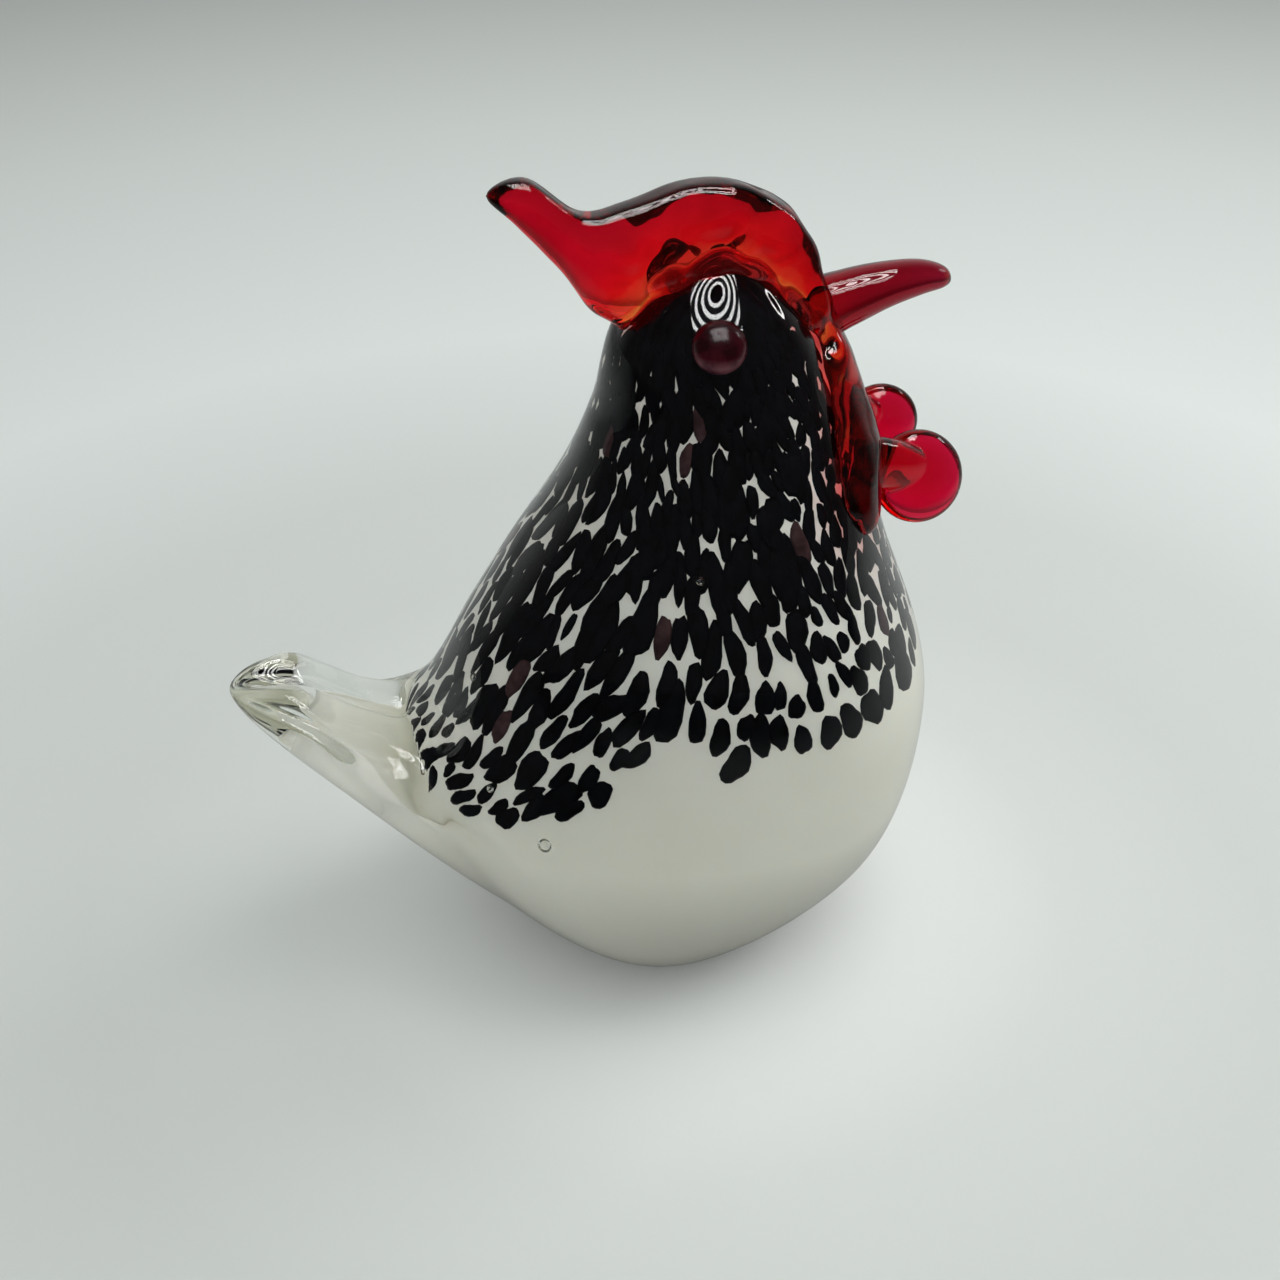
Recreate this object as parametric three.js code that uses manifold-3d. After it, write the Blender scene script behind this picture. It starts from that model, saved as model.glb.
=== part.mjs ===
// A solid glass chicken paperweight. A white glass core carries a skin and loose flakes of
// crushed black glass. Clear glass covers it and is drawn out behind into a tail with a pressed
// trough. A red glass ribbon forms the comb and runs down the face, with a red beak and wattles.
// Millimetres: +X forward, +Y the chicken's left, +Z up. The ground base is centred on the origin.
import * as THREE from "three";
import { mergeVertices } from "three/addons/utils/BufferGeometryUtils.js";
import Module from "manifold-3d";

// Clearance between neighbouring pieces of glass
const GAP = 0.3;

// Main sizes: the body from breast to tail tip, across its widest, and from base to crown
const BODY_LENGTH = 97;
const BODY_WIDTH = 62;
const BODY_HEIGHT = 102;

// Body: where each cross-section meets the back and the belly, as [x, z], and its width.
// x, z and widths are in hundredths of the body's length, height and width.
const BODY_STATIONS = [
  { back: [4.6, 100], belly: [4.6, 100], width: 0 },
  { back: [-8.2, 92.6], belly: [15.5, 92.6], width: 33.9 },
  { back: [-12.4, 79.9], belly: [21.1, 80.9], width: 51.6 },
  { back: [-17.0, 69.6], belly: [27.8, 62.7], width: 77.4 },
  { back: [-24.7, 58.8], belly: [35.6, 37.7], width: 98.4 },
  { back: [-30.4, 50.5], belly: [28.4, 10.3], width: 100 },
  { back: [-38.7, 37.7], belly: [1.5, -2.9], width: 93.5 },
  { back: [-46.4, 40.2], belly: [-25.8, 4.9], width: 53.2 },
  { back: [-56.7, 46.1], belly: [-51.0, 27.9], width: 37.1 },
  { back: [-64.4, 42.6], belly: [-64.4, 42.6], width: 0 },
];
const BELLY_FULLNESS = 0.12;

// Tail: the trough pressed along its top, and how far its left side trails its right
const TROUGH_DEPTH = 5;
const TROUGH_HALF_WIDTH = 3.2;
const TROUGH_BEGINS = 5.9;
const TROUGH_IS_DEEP = 6.9;
const TROUGH_FADES = 7.6;
const TAIL_SKEW = 0.15;
const TAIL_BEGINS = 6.5;
const TAIL_SET = 8;

// Clear casing over the core
const CASING_THICKNESS = 3.2;
const CASING_AT_BASE = 0.8;
const BASE_FLARE_HEIGHT = 16;
const TAIL_COVER = 8;
const TAIL_COVER_BEGINS = 6;
const TAIL_COVER_FULL = 7.2;

// White core: it narrows into the tail and ends there
const CORE_TAPER_BEGINS = 6.4;
const CORE_END = 8.1;
const CORE_TAIL_SEAT = 0.62;

// Black frit: the run-together mantle and the loose flakes below its edge
const FRIT_THICKNESS = 0.8;
const FRIT_SINK = 0.5;
const MANTLE_FRONT_EDGE = 3.3;
const MANTLE_BACK_EDGE = 5.8;
const MANTLE_EDGE_TURNS_FROM = 92;
const MANTLE_EDGE_TURNS_TO = 142;
const MANTLE_LOBES = 12;
const MANTLE_LOBE_DEPTH = 1.8;
const FLAKE_LENGTH = 5.2;
const FLAKE_WIDTH = 3.6;
const FLAKE_SIZE = 0.88;
const FLAKE_SIZE_SPREAD = 0.12;
const FLAKE_WANDER = 0.6;
const FLAKE_ROWS = [
  { count: 28, below: 4.6, upTo: 104 },
  { count: 24, below: 11.2, upTo: 108 },
];

// Red ribbon: its seat in hundredths of the body, its rise from there to the crest in comb
// heights, its width in comb widths, and its drift to the right in hundredths of the body width
const COMB_HEIGHT = 18;
const COMB_WIDTH = 8;
const COMB_STATIONS = [
  { seat: [-24.9, 108.6], rise: [0, 0], width: 0, drift: 0 },
  { seat: [-21.6, 105.1], rise: [0.09, 0.29], width: 0.6, drift: 0 },
  { seat: [-16.9, 100], rise: [0.19, 0.33], width: 0.78, drift: 0 },
  { seat: [-10.3, 92.3], rise: [0.14, 0.81], width: 1, drift: 0 },
  { seat: [-2.6, 91.2], rise: [0.17, 1], width: 1, drift: 0 },
  { seat: [4.6, 92.2], rise: [0.21, 0.88], width: 1, drift: 0 },
  { seat: [10.5, 89.2], rise: [0.24, 0.78], width: 1.05, drift: 0.3 },
  { seat: [14.6, 86.8], rise: [0.19, 0.47], width: 1.15, drift: 1.1 },
  { seat: [17.0, 82.4], rise: [0.22, 0.23], width: 1.3, drift: 2.4 },
  { seat: [19.0, 75.1], rise: [0.36, 0.2], width: 1.85, drift: 6.5 },
  { seat: [19.2, 69.4], rise: [0.38, 0.16], width: 1.65, drift: 12.9 },
  { seat: [19.2, 66.3], rise: [0.27, 0.11], width: 0.9, drift: 20.3 },
  { seat: [21.0, 65.5], rise: [0, 0], width: 0, drift: 23.5 },
];
const COMB_TAPER = 0.22;

// Beak: its root in hundredths of the body, its under edge and top edge as [x, z] from there in
// beak lengths, and its width in beak widths
const BEAK_LENGTH = 22;
const BEAK_WIDTH = 7.2;
const BEAK_ROOT = [12.9, 90.7];
const BEAK_STATIONS = [
  { under: [0, 0], top: [0, 0], width: 0 },
  { under: [0.18, -0.19], top: [0.14, 0.18], width: 1 },
  { under: [0.41, -0.09], top: [0.36, 0.24], width: 1 },
  { under: [0.63, 0.01], top: [0.59, 0.27], width: 0.86 },
  { under: [0.82, 0.07], top: [0.81, 0.27], width: 0.67 },
  { under: [0.95, 0.1], top: [0.96, 0.22], width: 0.42 },
  { under: [1, 0.14], top: [1, 0.14], width: 0 },
];

// Wattles: pressed drops hung from a station of the ribbon, splayed outwards at the bottom.
// Each hangs forward of the crest there and below it, in radii, and across from the ribbon.
const WATTLE_SPLAY = 24;
const WATTLE_FORWARD = 0.78;
const WATTLE_DROP = 0.94;
const RIGHT_WATTLE_RADIUS = 6.2;
const RIGHT_WATTLE_HALF_THICKNESS = 2.5;
const LEFT_WATTLE_RADIUS = 5.3;
const LEFT_WATTLE_HALF_THICKNESS = 2.3;
const WATTLES = [
  {
    name: "wattle_right",
    side: -1,
    station: 9.5,
    across: -0.4,
    radius: RIGHT_WATTLE_RADIUS,
    halfThickness: RIGHT_WATTLE_HALF_THICKNESS,
  },
  {
    name: "wattle_left",
    side: 1,
    station: 9,
    across: 7.4,
    radius: LEFT_WATTLE_RADIUS,
    halfThickness: LEFT_WATTLE_HALF_THICKNESS,
  },
];

// Eyes: flattened beads pressed onto the sides of the head
const EYE_STATION = 1.05;
const EYE_ANGLE = 82;
const EYE_RADIUS = 3.3;
const EYE_HALF_THICKNESS = 2.4;
const EYE_PROUD = 0.5;

// Fineness of the solids
const BODY_STEPS = 34;
const BODY_AROUND = 34;
const CORE_STEPS = 30;
const CORE_AROUND = 30;
const MANTLE_STEPS = 10;
const POINTS_PER_LOBE = 4;
const FLAKE_SIDES = 8;
const COMB_STEPS = 36;
const BEAK_STEPS = 16;
const RED_AROUND = 14;
const LENS_AROUND = 18;
const LENS_STEPS = 10;
const SMALL_STEP = 1e-3;
const MERGE_WITHIN = 1e-4;

// A box that holds everything below the ground base
const GROUND_BOX = 400;

// Turns counting numbers into an even spread of sizes and places for the flakes
const SPREAD_BY_FLAKE = 12.9898;
const SPREAD_BY_ROW = 4.1414;

// Glass colours and surfaces
const GLASS = {
  white: { color: 0xe9e6dd, roughness: 0.35, metalness: 0 },
  black: { color: 0x0b0c10, roughness: 0.2, metalness: 0 },
  clear: { color: 0xdfe6e2, roughness: 0.05, metalness: 0, transparent: true, opacity: 0.35 },
  red: { color: 0xa80412, roughness: 0.08, metalness: 0, transparent: true, opacity: 0.8 },
  ruby: { color: 0x3a0a14, roughness: 0.08, metalness: 0 },
};

const wasm = await Module();
wasm.setup();
const { degToRad, lerp, radToDeg, smoothstep } = THREE.MathUtils;

// A closed mesh as a solid
function solidOf(geometry) {
  const bare = new THREE.BufferGeometry();
  bare.setAttribute("position", geometry.getAttribute("position"));
  bare.setIndex(geometry.getIndex());
  const merged = mergeVertices(bare, MERGE_WITHIN);
  return new wasm.Manifold(
    new wasm.Mesh({
      numProp: 3,
      vertProperties: new Float32Array(merged.attributes.position.array),
      triVerts: new Uint32Array(merged.index.array),
    }),
  );
}

// A solid as a named mesh of one kind of glass
function pieceOf(solid, name, glass) {
  const made = solid.getMesh();
  const geometry = new THREE.BufferGeometry();
  geometry.setAttribute("position", new THREE.BufferAttribute(made.vertProperties, 3));
  geometry.setIndex(new THREE.BufferAttribute(made.triVerts, 1));
  geometry.computeVertexNormals();
  const mesh = new THREE.Mesh(geometry, new THREE.MeshStandardMaterial(GLASS[glass]));
  mesh.name = name;
  return mesh;
}

function geometryOf(points, faces) {
  const geometry = new THREE.BufferGeometry().setFromPoints(points);
  geometry.setIndex(faces.flat());
  return geometry;
}

// A closed skin of rings between two end points: pointAt takes 0 to 1 along and an angle
function ringedSolid(pointAt, steps, around) {
  const points = [pointAt(0, 0)];
  for (let i = 1; i < steps; i += 1) {
    for (let j = 0; j < around; j += 1) {
      points.push(pointAt(i / steps, (j / around) * 2 * Math.PI));
    }
  }
  points.push(pointAt(1, 0));
  const last = points.length - 1;
  const at = (i, j) => 1 + (i - 1) * around + (j % around);
  const faces = [];
  for (let j = 0; j < around; j += 1) {
    faces.push([0, at(1, j), at(1, j + 1)]);
    faces.push([last, at(steps - 1, j + 1), at(steps - 1, j)]);
    for (let i = 1; i < steps - 1; i += 1) {
      faces.push([at(i, j), at(i + 1, j), at(i, j + 1)]);
      faces.push([at(i, j + 1), at(i + 1, j), at(i + 1, j + 1)]);
    }
  }
  return facingOut(geometryOf(points, faces));
}

// The solid of a closed geometry, turned round if its faces point inwards
function facingOut(geometry) {
  const solid = solidOf(geometry);
  if (solid.volume() > 0) return solid;
  const index = geometry.getIndex().array;
  for (let i = 0; i < index.length; i += 3) {
    [index[i + 1], index[i + 2]] = [index[i + 2], index[i + 1]];
  }
  return solidOf(geometry);
}

// Two rails through the stations: they start together, part, and meet again at the far end.
// The rails' Y holds the half width, plus on one rail and minus on the other.
function railsThrough(first, second, halfWidths) {
  const there = first.map(([x, z], i) => new THREE.Vector3(x, halfWidths[i], z));
  const back = second.map(([x, z], i) => new THREE.Vector3(x, -halfWidths[i], z));
  const loop = [...there, ...back.slice(1, -1).reverse()];
  const curve = new THREE.CatmullRomCurve3(loop, true, "catmullrom", 0.5);
  const spans = first.length - 1;
  return {
    spans,
    first: (u) => curve.getPoint(u / loop.length),
    second: (u) => curve.getPoint((1 - u / loop.length) % 1),
  };
}

// A point of the oval section between the rails at station u; grow widens the section
function sectionPoint(rails, u, angle, fullness, grow = 0) {
  const a = rails.first(u);
  const b = rails.second(u);
  const half = new THREE.Vector3(a.x - b.x, 0, a.z - b.z).multiplyScalar(0.5);
  const centre = new THREE.Vector3((a.x + b.x) / 2, 0, (a.z + b.z) / 2);
  half.setLength(half.length() + grow);
  const width = a.y + grow;
  const side = width * Math.sin(angle) * (1 - fullness * Math.cos(angle));
  return centre.addScaledVector(half, Math.cos(angle)).setY(side);
}

// A point given in hundredths of the body's length and height
const onBody = ([x, z]) => [(x * BODY_LENGTH) / 100, (z * BODY_HEIGHT) / 100];

const bodyRails = railsThrough(
  BODY_STATIONS.map((s) => onBody(s.back)),
  BODY_STATIONS.map((s) => onBody(s.belly)),
  BODY_STATIONS.map((s) => (s.width / 100) * (BODY_WIDTH / 2)),
);

// A point on the outside of the body, at station u and an angle from the back line
function skinPoint(u, angle, troughed = true) {
  const fullness = BELLY_FULLNESS * Math.sin((Math.PI * u) / bodyRails.spans);
  const point = sectionPoint(bodyRails, u, angle, fullness);
  if (troughed && Math.cos(angle) > 0) {
    const pressed =
      smoothstep(u, TROUGH_BEGINS, TROUGH_IS_DEEP) * (1 - smoothstep(u, TROUGH_FADES, bodyRails.spans));
    const across = Math.exp(-((point.y / TROUGH_HALF_WIDTH) ** 2));
    const chord = bodyRails.second(u).sub(bodyRails.first(u)).setY(0).normalize();
    point.addScaledVector(chord, TROUGH_DEPTH * pressed * across * Math.cos(angle) ** 2);
  }
  point.x -= TAIL_SKEW * point.y * smoothstep(u, TAIL_BEGINS, TAIL_SET);
  return point;
}

// The outward normal of the body there
function skinNormal(u, angle, troughed) {
  const small = SMALL_STEP;
  const end = u < small ? small : bodyRails.spans - small;
  const atEnd = u < small || u > bodyRails.spans - small;
  if (atEnd) {
    const across = skinPoint(end, Math.PI / 2, troughed).sub(skinPoint(end, -Math.PI / 2, troughed));
    const along = skinPoint(end, 0, troughed).sub(skinPoint(end, Math.PI, troughed));
    return across.cross(along).normalize();
  }
  const along = skinPoint(u + small, angle, troughed).sub(skinPoint(u - small, angle, troughed));
  const round = skinPoint(u, angle + small, troughed).sub(skinPoint(u, angle - small, troughed));
  return round.cross(along).normalize();
}

// A point that lies depth below the outside of the body
function sunkPoint(u, angle, depth, troughed = true) {
  return skinPoint(u, angle, troughed).addScaledVector(skinNormal(u, angle, troughed), -depth);
}

// How much clear glass covers the core: thin round the ground base, thick under the trough
function casingDepth(u, angle) {
  const height = skinPoint(u, angle, false).z;
  const wall = lerp(CASING_AT_BASE, CASING_THICKNESS, smoothstep(height, 0, BASE_FLARE_HEIGHT));
  const onTop = Math.max(0, Math.cos(angle)) ** 2;
  return wall + TAIL_COVER * onTop * smoothstep(u, TAIL_COVER_BEGINS, TAIL_COVER_FULL);
}

// A point on the core, or extra below its surface; the core narrows to a point inside the tail
function corePoint(u, angle, extra) {
  const point = sunkPoint(u, angle, casingDepth(u, angle) + extra, false);
  if (u <= CORE_TAPER_BEGINS) return point;
  const along = (u - CORE_TAPER_BEGINS) / (CORE_END - CORE_TAPER_BEGINS);
  const shrink = Math.sqrt(Math.max(0, 1 - along ** 2));
  const seat = bodyRails.first(u).setY(0).lerp(bodyRails.second(u).setY(0), CORE_TAIL_SEAT);
  return seat.lerp(point, shrink);
}

// A solid without the slivers that a cut can leave beside it
function largestBody(solid) {
  const bodies = solid.decompose();
  return bodies.reduce((largest, body) => (body.volume() > largest.volume() ? body : largest));
}

// Everything below the ground base
function underground() {
  const box = new THREE.BoxGeometry(GROUND_BOX, GROUND_BOX, GROUND_BOX);
  box.translate(0, 0, -GROUND_BOX / 2);
  return solidOf(box);
}

// Degrees round the body from the middle of the breast, on either side
function fromFront(angle) {
  return Math.abs(radToDeg(Math.atan2(Math.sin(angle), -Math.cos(angle))));
}

// How far along the body the mantle's edge lies at an angle, with extra millimetres beyond it
function mantleEdge(angle, beyond) {
  const turn = smoothstep(fromFront(angle), MANTLE_EDGE_TURNS_FROM, MANTLE_EDGE_TURNS_TO);
  const u = lerp(MANTLE_FRONT_EDGE, MANTLE_BACK_EDGE, turn);
  return u + beyond / stretchAt(u, angle).along;
}

// Millimetres of surface for one station along the body, and for one radian round it
function stretchAt(u, angle) {
  const small = SMALL_STEP;
  const along = skinPoint(u + small, angle, false).distanceTo(skinPoint(u - small, angle, false));
  const round = skinPoint(u, angle + small, false).distanceTo(skinPoint(u, angle - small, false));
  return { along: along / (2 * small), round: round / (2 * small) };
}

// The lobed skin of black glass between two depths, its edge moved out by margin
function mantleSkin(top, bottom, margin) {
  const around = POINTS_PER_LOBE * MANTLE_LOBES;
  const edges = [];
  for (let j = 0; j < around; j += 1) {
    const angle = (j / around) * 2 * Math.PI;
    const lobe = (MANTLE_LOBE_DEPTH / 2) * (1 + Math.cos(MANTLE_LOBES * angle));
    edges.push(mantleEdge(angle, lobe + margin));
  }
  const layer = (depth) => {
    const rows = [[corePoint(0, 0, depth)]];
    for (let i = 1; i <= MANTLE_STEPS; i += 1) {
      rows.push(edges.map((edge, j) => corePoint((edge * i) / MANTLE_STEPS, (j / around) * 2 * Math.PI, depth)));
    }
    return rows.flat();
  };
  const points = [...layer(top), ...layer(bottom)];
  const under = points.length / 2;
  const at = (i, j) => 1 + (i - 1) * around + (j % around);
  const faces = [];
  for (let j = 0; j < around; j += 1) {
    faces.push([0, at(1, j), at(1, j + 1)]);
    faces.push([under, under + at(1, j + 1), under + at(1, j)]);
    for (let i = 1; i < MANTLE_STEPS; i += 1) {
      const [a, b, c, d] = [at(i, j), at(i + 1, j), at(i, j + 1), at(i + 1, j + 1)];
      faces.push([a, b, c], [c, b, d]);
      faces.push([under + a, under + c, under + b], [under + c, under + d, under + b]);
    }
    const [a, b] = [at(MANTLE_STEPS, j), at(MANTLE_STEPS, j + 1)];
    faces.push([a, under + a, b], [b, under + a, under + b]);
  }
  return facingOut(geometryOf(points, faces));
}

// One loose flake between two depths, its outline moved out by margin
function flakeChip(flake, top, bottom, margin) {
  const stretch = stretchAt(flake.u, flake.angle);
  const rim = [];
  for (let k = 0; k < FLAKE_SIDES; k += 1) {
    const turn = (k / FLAKE_SIDES) * 2 * Math.PI;
    const along = ((FLAKE_LENGTH * flake.size) / 2 + margin) * Math.cos(turn);
    const across = ((FLAKE_WIDTH * flake.size) / 2 + margin) * Math.sin(turn);
    rim.push([flake.u + along / stretch.along, flake.angle + across / stretch.round]);
  }
  const layer = (depth) => [
    corePoint(flake.u, flake.angle, depth),
    ...rim.map(([u, angle]) => corePoint(u, angle, depth)),
  ];
  const points = [...layer(top), ...layer(bottom)];
  const under = FLAKE_SIDES + 1;
  const faces = [];
  for (let k = 0; k < FLAKE_SIDES; k += 1) {
    const a = 1 + k;
    const b = 1 + ((k + 1) % FLAKE_SIDES);
    faces.push([0, a, b], [under, under + b, under + a]);
    faces.push([a, under + a, b], [b, under + a, under + b]);
  }
  return facingOut(geometryOf(points, faces));
}

// Where the loose flakes lie, in rows below the mantle's edge, each a little different in size
function looseFlakes() {
  const flakes = [];
  FLAKE_ROWS.forEach(({ count, below, upTo }, row) => {
    for (let k = 0; k < count; k += 1) {
      const angle = ((k + 0.5) / count) * 2 * Math.PI;
      if (fromFront(angle) > upTo) continue;
      const wander = Math.sin(SPREAD_BY_FLAKE * (k + 1) + SPREAD_BY_ROW * row);
      const beyond = MANTLE_LOBE_DEPTH + below + FLAKE_WANDER * wander;
      const size = FLAKE_SIZE + FLAKE_SIZE_SPREAD * wander;
      flakes.push({ u: mantleEdge(angle, beyond), angle, size });
    }
  });
  return flakes;
}

const combSeats = COMB_STATIONS.map((s) => onBody(s.seat));
const combRails = railsThrough(
  combSeats,
  COMB_STATIONS.map((s, i) => combSeats[i].map((from, k) => from + s.rise[k] * COMB_HEIGHT)),
  COMB_STATIONS.map((s) => (s.width * COMB_WIDTH) / 2),
);
const driftCurve = new THREE.SplineCurve(
  COMB_STATIONS.map((s, i) => new THREE.Vector2(i, (s.drift / 100) * BODY_WIDTH)),
);
const combDrift = (u) => driftCurve.getPoint(u / combRails.spans).y;

// The whole red ribbon, before the body is cut from it
function ribbon(grow = 0) {
  const pointAt = (s, angle) => {
    const u = s * combRails.spans;
    const point = sectionPoint(combRails, u, angle, -COMB_TAPER, grow);
    point.y -= combDrift(u);
    return point;
  };
  return ringedSolid(pointAt, COMB_STEPS, RED_AROUND);
}

const beakRoot = onBody(BEAK_ROOT);
const onBeak = (place) => beakRoot.map((from, k) => from + place[k] * BEAK_LENGTH);
const beakRails = railsThrough(
  BEAK_STATIONS.map((s) => onBeak(s.under)),
  BEAK_STATIONS.map((s) => onBeak(s.top)),
  BEAK_STATIONS.map((s) => (s.width * BEAK_WIDTH) / 2),
);

function beak() {
  const pointAt = (s, angle) => sectionPoint(beakRails, s * beakRails.spans, angle, 0);
  return ringedSolid(pointAt, BEAK_STEPS, RED_AROUND);
}

// A flattened drop of glass facing +Z
function lens(radius, halfThickness) {
  const sphere = new THREE.SphereGeometry(radius, LENS_AROUND, LENS_STEPS);
  sphere.rotateX(Math.PI / 2);
  sphere.scale(1, 1, halfThickness / radius);
  return sphere;
}

function wattle({ side, station, across, radius, halfThickness }) {
  const drop = lens(radius, halfThickness);
  drop.rotateX(side * degToRad(-90 + WATTLE_SPLAY));
  const crest = combRails.second(station);
  drop.translate(crest.x + WATTLE_FORWARD * radius, across - combDrift(station), crest.z - WATTLE_DROP * radius);
  return facingOut(drop);
}

// The bead of one eye: side is 1 on the left and -1 on the right
function eye(side) {
  const angle = side * degToRad(EYE_ANGLE);
  const normal = skinNormal(EYE_STATION, angle, false);
  const centre = skinPoint(EYE_STATION, angle, false).addScaledVector(normal, EYE_PROUD);
  const bead = lens(EYE_RADIUS, EYE_HALF_THICKNESS);
  bead.applyQuaternion(new THREE.Quaternion().setFromUnitVectors(new THREE.Vector3(0, 0, 1), normal));
  bead.translate(centre.x, centre.y, centre.z);
  return facingOut(bead);
}

const ground = underground();
const bodySkin = (depth) =>
  ringedSolid((s, angle) => sunkPoint(s * bodyRails.spans, angle, depth), BODY_STEPS, BODY_AROUND);
const coreSkin = (extra) =>
  ringedSolid((s, angle) => corePoint(s * CORE_END, angle, extra), CORE_STEPS, CORE_AROUND);

const fritTop = GAP + FRIT_SINK;
const fritBottom = fritTop + FRIT_THICKNESS;
const flakes = looseFlakes();
const pockets = [
  mantleSkin(-GAP, fritBottom + GAP, GAP),
  ...flakes.map((flake) => flakeChip(flake, -GAP, fritBottom + GAP, GAP)),
];
let core = coreSkin(GAP).subtract(ground);
for (const pocket of pockets) {
  core = core.subtract(pocket);
}
core = largestBody(core);
const casing = bodySkin(0).subtract(ground).subtract(coreSkin(0));
const nearBody = bodySkin(-GAP);
const combSolid = ribbon().subtract(nearBody);
const nearComb = ribbon(GAP);

const paperweight = new THREE.Group();
paperweight.add(pieceOf(core, "white_core", "white"));
paperweight.add(pieceOf(casing, "clear_casing", "clear"));
paperweight.add(pieceOf(mantleSkin(fritTop, fritBottom, 0), "frit_mantle", "black"));
flakes.forEach((flake, k) => {
  const name = "frit_flake_" + String(k + 1).padStart(2, "0");
  paperweight.add(pieceOf(flakeChip(flake, fritTop, fritBottom, 0), name, "black"));
});
paperweight.add(pieceOf(combSolid, "comb", "red"));
paperweight.add(pieceOf(beak().subtract(nearBody).subtract(nearComb), "beak", "red"));
for (const drop of WATTLES) {
  const solid = wattle(drop).subtract(nearBody).subtract(nearComb);
  paperweight.add(pieceOf(solid, drop.name, "red"));
}
paperweight.add(pieceOf(eye(-1).subtract(nearBody), "eye_right", "ruby"));
paperweight.add(pieceOf(eye(1).subtract(nearBody), "eye_left", "ruby"));

export default paperweight;
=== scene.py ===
"""Looks of the glass chicken paperweight, in the frame of its CAD model: metres, +X forward, +Z up.

The glass pieces are made again as smooth surfaces from the outlines that the solids have. The clear
casing is one closed skin round the white core, and the crushed black flakes lie on the core inside it.
"""

import math

import bpy
import numpy as np
from mathutils import Matrix, Vector, noise
from mathutils.bvhtree import BVHTree


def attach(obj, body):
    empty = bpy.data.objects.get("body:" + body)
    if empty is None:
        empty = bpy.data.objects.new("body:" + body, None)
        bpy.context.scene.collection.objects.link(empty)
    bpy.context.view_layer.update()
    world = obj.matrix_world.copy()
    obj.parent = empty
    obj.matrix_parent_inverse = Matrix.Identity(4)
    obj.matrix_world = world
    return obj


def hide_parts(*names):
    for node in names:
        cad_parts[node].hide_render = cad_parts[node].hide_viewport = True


MM = 0.001

# Camera: where the photograph was taken from, and the point of the body that it centres on
AZIMUTH = math.radians(-11)
ELEVATION = math.radians(35)
FOCUS = Vector((-0.006, 0, 0.038))
DISTANCE = 0.242857
SHIFT_RIGHT = 0.000286
SHIFT_UP = 0.005714
LENS = 47.8125
SENSOR = 36
SEES_FROM = 0.01
SEES_TO = 20

# Main sizes of the body, in millimetres as all sizes of the glass below
BODY_LENGTH = 96.75
BODY_WIDTH = 61.95
BODY_HEIGHT = 102

# Body: back and belly of each cross-section as (x, z), and its width, in hundredths of the main sizes
BODY_STATIONS = (
    ((4.6, 100), (4.6, 100), 0),
    ((-8.2, 92.6), (15.5, 92.6), 33.9),
    ((-12.4, 79.9), (21.1, 80.9), 51.6),
    ((-17.0, 69.6), (27.8, 62.7), 77.4),
    ((-24.7, 58.8), (35.6, 37.7), 98.4),
    ((-30.4, 50.5), (28.4, 10.3), 100),
    ((-38.7, 37.7), (1.5, -2.9), 93.5),
    ((-46.4, 40.2), (-25.8, 4.9), 53.2),
    ((-56.7, 46.1), (-51.0, 27.9), 37.1),
    ((-64.4, 42.6), (-64.4, 42.6), 0),
)
BODY_SPANS = len(BODY_STATIONS) - 1
BELLY_FULLNESS = 0.12
BASE_ROUNDING = 0.7

# Steps in stations and radians that slopes are measured over, and how near the ends they are taken
NORMAL_STEP = 0.004
CORE_STEP = 0.01
END_MARGIN = 0.03

# Tail trough
TROUGH_DEPTH = 5
TROUGH_HALF_WIDTH = 3.2
TROUGH_ACROSS = 1.6
TROUGH_BEGINS = 5.9
TROUGH_IS_DEEP = 6.9
TROUGH_FADES = 8.1
TAIL_SKEW = 0.15
TAIL_BEGINS = 6.5
TAIL_SET = 8

# Creases under the two ridges of the tail: station and degrees from the back, depth and half width
CREASE_LINE = ((6.4, 26), (6.9, 36), (7.4, 46), (7.75, 51), (8.3, 49))
CREASE_DEPTH = 1.1
CREASE_HALF_WIDTH = 0.14
CREASE_GROWS = (6.3, 7.0)
CREASE_FADES = (8.2, 8.8)

# Clear casing and white core
CASING_THICKNESS = 3.2
CASING_AT_BASE = 0.8
BASE_FLARE_HEIGHT = 16
TAIL_COVER = 0.42
TAIL_COVER_BEGINS = 6
TAIL_COVER_FULL = 7.2
TAIL_BELLY_THINNED = 0.6
CORE_TAPER_BEGINS = 7.0
CORE_END = 8.15
CORE_TAIL_SEAT = 0.62
CORE_FLOOR = 0.5

# Red ribbon: seat in hundredths of the body, rise in comb heights, width in comb widths, drift
COMB_HEIGHT = 17.69
COMB_WIDTH = 8
COMB_TAPER = 0.1
COMB_SQUARENESS = 0.5
COMB_STATIONS = (
    ((-24.9, 108.6), (0, 0), 0, 0),
    ((-21.6, 105.1), (0.09, 0.29), 0.58, 0),
    ((-16.9, 100), (0.19, 0.33), 0.7, 0),
    ((-10.3, 92.3), (0.14, 0.81), 0.88, 0),
    ((-2.6, 91.2), (0.17, 1), 1, 0),
    ((4.6, 92.2), (0.21, 0.88), 1, 0),
    ((10.5, 89.2), (0.24, 0.78), 1.05, 0.3),
    ((14.6, 86.8), (0.19, 0.47), 1.1, 1.1),
    ((17.0, 82.0), (0.21, 0.25), 0.9, 2.4),
    ((18.4, 77.0), (0, 0), 0, 4),
)

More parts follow.
